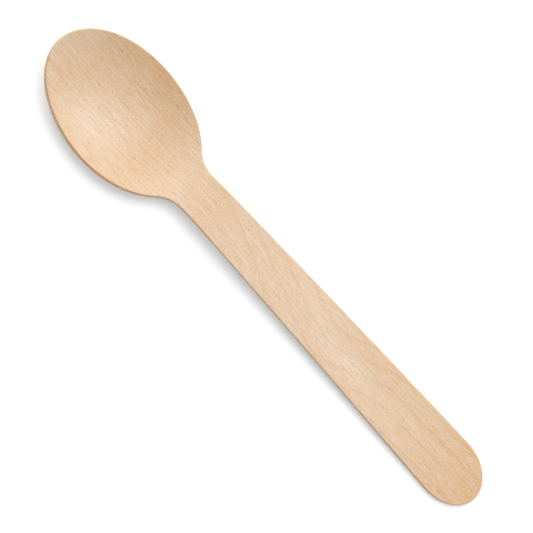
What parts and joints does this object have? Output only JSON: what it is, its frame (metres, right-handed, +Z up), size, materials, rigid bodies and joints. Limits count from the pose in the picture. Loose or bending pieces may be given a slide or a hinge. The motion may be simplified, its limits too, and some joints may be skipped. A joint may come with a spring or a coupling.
{
  "type": "wooden spoon",
  "caption": "Disposable wooden spoon pressed from one sheet of birch veneer: shallow oval bowl, narrow neck and a flat handle that widens to a rounded end.",
  "frame": {"origin": "on the table under the middle of the spoon's length and width, as it lies at rest", "axes": "+X from the bowl's tip to the handle's end, +Z up"},
  "size_m": [0.1602, 0.0328, 0.0063],
  "materials": {
    "birch": "bare, smooth pressed birch veneer with fine straight grain, satin"
  },
  "bodies": {
    "root": {"spoon": "birch"}
  },
  "joints": []
}
